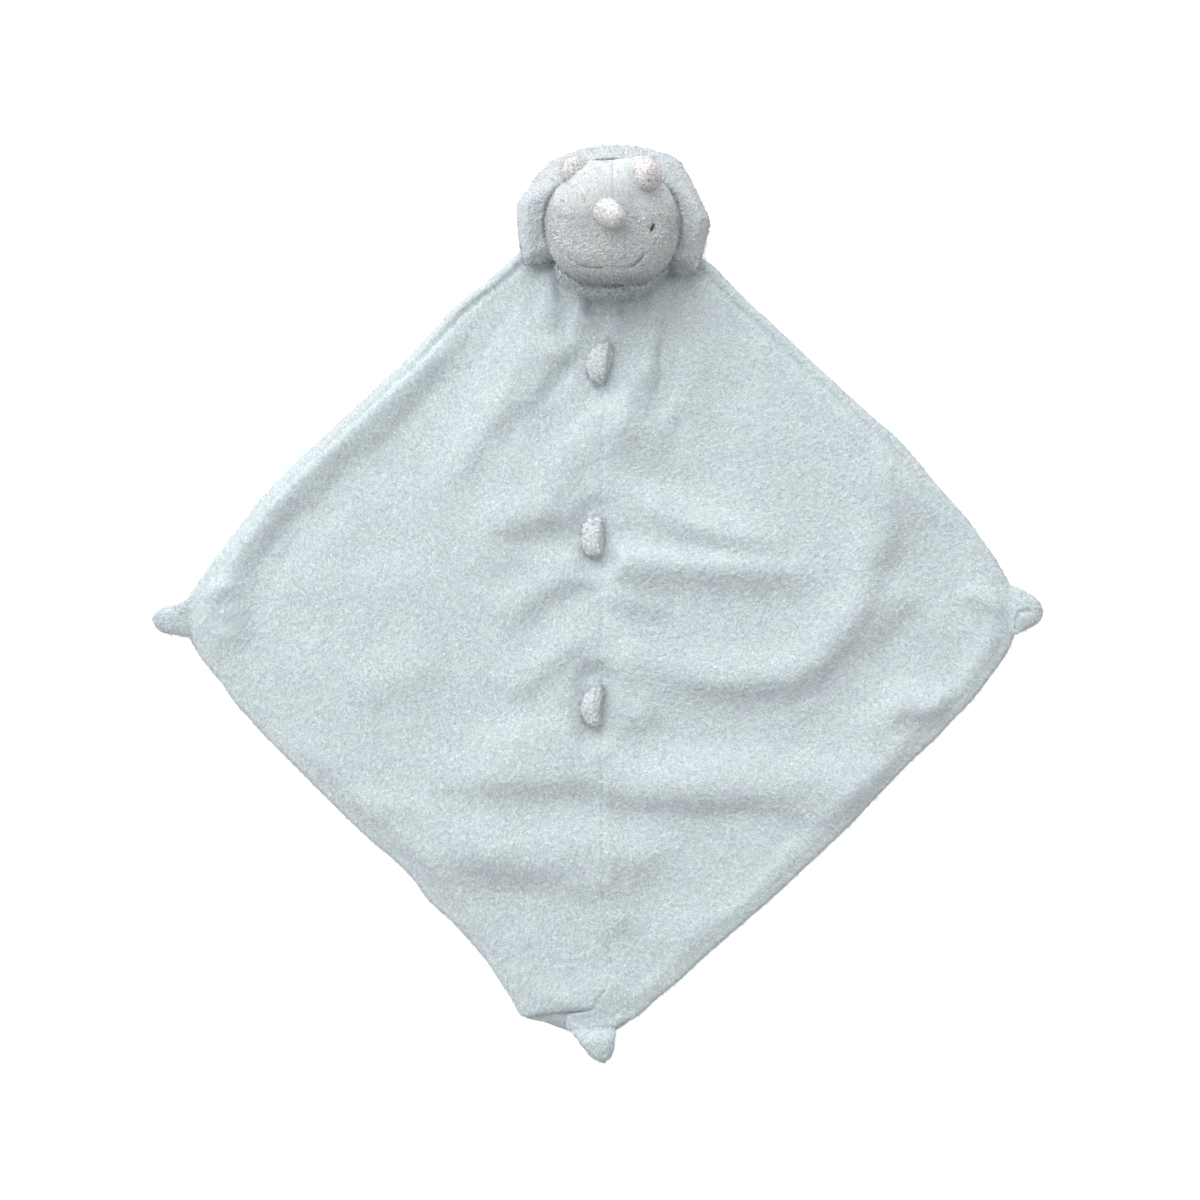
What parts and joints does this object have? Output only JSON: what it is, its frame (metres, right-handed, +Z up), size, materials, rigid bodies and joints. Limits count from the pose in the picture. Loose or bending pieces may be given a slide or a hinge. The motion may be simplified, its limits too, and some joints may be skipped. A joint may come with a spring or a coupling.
{
  "type": "comfort blanket lovey",
  "caption": "Plush comfort blanket: a flat two-layer diamond with a padded horned, frilled animal head at one corner, plush plates along its centre seam and knotted tips at the other corners.",
  "frame": {"origin": "middle of the overall footprint, on the surface that the blanket lies on", "axes": "+Z up from the surface towards the face side, +Y towards the head, +X to the right seen from above with the head away"},
  "size_m": [0.5038, 0.5177, 0.0744],
  "materials": {
    "blanket_plush": "short soft pile",
    "head_plush": "short soft pile, a little greyer",
    "cream_plush": "short soft pile",
    "filling": "loose polyester fibre",
    "sewing_thread": "matt polyester thread",
    "eye_thread": "satin embroidery",
    "mouth_thread": "matt embroidery thread"
  },
  "bodies": {
    "blanket": {"back_panel": "blanket_plush", "front_panel_left": "blanket_plush", "front_panel_right": "blanket_plush", "centre_seam_thread": "sewing_thread"},
    "spine_upper": {"spine_plate_upper": "blanket_plush"},
    "spine_middle": {"spine_plate_middle": "blanket_plush"},
    "spine_lower": {"spine_plate_lower": "blanket_plush"},
    "tip_left": {"corner_knot_left": "blanket_plush"},
    "tip_right": {"corner_knot_right": "blanket_plush"},
    "tip_bottom": {"corner_knot_bottom": "blanket_plush"},
    "neck": {"neck_gather": "blanket_plush", "neck_thread": "sewing_thread"},
    "head": {"head_cover_left": "head_plush", "head_cover_right": "head_plush", "head_filling": "filling", "lower_jaw": "head_plush", "brow_horn_left": "cream_plush", "brow_horn_left_filling": "filling", "brow_horn_right": "cream_plush", "brow_horn_right_filling": "filling", "nose_horn": "cream_plush", "nose_horn_filling": "filling", "eye_left": "eye_thread", "eye_right": "eye_thread", "mouth_stitching": "mouth_thread", "frill_front": "blanket_plush", "frill_back": "blanket_plush", "frill_wadding": "filling"}
  },
  "joints": [
    {"name": "neck_nod", "type": "hinge", "parent": "blanket", "child": "neck", "pos_m": [0.008, 0.18036, 0.008], "axis": [1, 0, 0], "range_deg": [0, 55]},
    {"name": "head_tilt", "type": "hinge", "parent": "neck", "child": "head", "pos_m": [0.008, 0.18836, 0.012], "axis": [0, 0, 1], "range_deg": [-20, 20]},
    {"name": "spine_upper_flip", "type": "hinge", "parent": "blanket", "child": "spine_upper", "pos_m": [0.005, 0.13491, 0.00675], "axis": [0.1052, 0.9945, 0], "range_deg": [0, 120]},
    {"name": "spine_middle_flip", "type": "hinge", "parent": "blanket", "child": "spine_middle", "pos_m": [0.0025, 0.03703, 0.00675], "axis": [0, 1, 0], "range_deg": [0, 120]},
    {"name": "spine_lower_flip", "type": "hinge", "parent": "blanket", "child": "spine_lower", "pos_m": [0.0025, -0.05801, 0.00675], "axis": [0, 1, 0], "range_deg": [0, 120]},
    {"name": "tip_left_lift", "type": "hinge", "parent": "blanket", "child": "tip_left", "pos_m": [-0.2333, -0.0092, 0.005], "axis": [0, 1, 0], "range_deg": [0, 75]},
    {"name": "tip_right_lift", "type": "hinge", "parent": "blanket", "child": "tip_right", "pos_m": [0.2319, -0.0042, 0.005], "axis": [0, -1, 0], "range_deg": [0, 75]},
    {"name": "tip_bottom_lift", "type": "hinge", "parent": "blanket", "child": "tip_bottom", "pos_m": [-0.0038, -0.24055, 0.005], "axis": [-1, 0, 0], "range_deg": [0, 75]}
  ]
}
